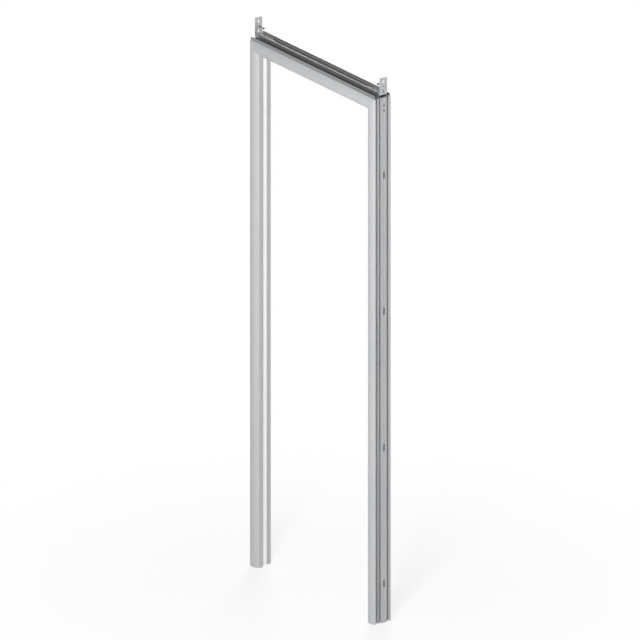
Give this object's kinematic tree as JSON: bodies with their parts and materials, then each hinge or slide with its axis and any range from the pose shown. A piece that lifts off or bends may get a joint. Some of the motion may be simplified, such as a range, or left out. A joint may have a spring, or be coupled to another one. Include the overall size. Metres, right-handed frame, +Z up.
{
  "type": "door frame",
  "caption": "Mitred door frame of hollow crowned metal profiles with snap-in cover strips, head rail and fixing brackets",
  "frame": {"origin": "on the outer face of the left jamb's fixing web, at floor level, half way along the web's depth", "axes": "+X across the doorway towards the right jamb, +Y through the wall from the front to the rear, +Z up"},
  "size_m": [0.76, 0.0845, 2.1815],
  "materials": {
    "profile": "satin anodised, fine lengthwise drawing lines",
    "rail": "mill finish extrusion",
    "casting": "as cast, slightly grainy",
    "cover_strip": "smooth white plastic",
    "bracket": "galvanised sheet",
    "screw": "zinc plated"
  },
  "bodies": {
    "root": {"jamb_left": "profile", "jamb_right": "profile", "head": "profile", "head_rail": "rail", "corner_connector_left": "casting", "corner_connector_right": "casting", "mitre_screws_left": "screw", "mitre_screws_right": "screw", "cover_strip_left": "cover_strip", "cover_strip_right": "cover_strip", "cover_strip_head": "cover_strip", "fixing_bracket_left": "bracket", "fixing_bracket_right": "bracket", "bracket_screw_left": "screw", "bracket_screw_right": "screw"}
  },
  "joints": []
}
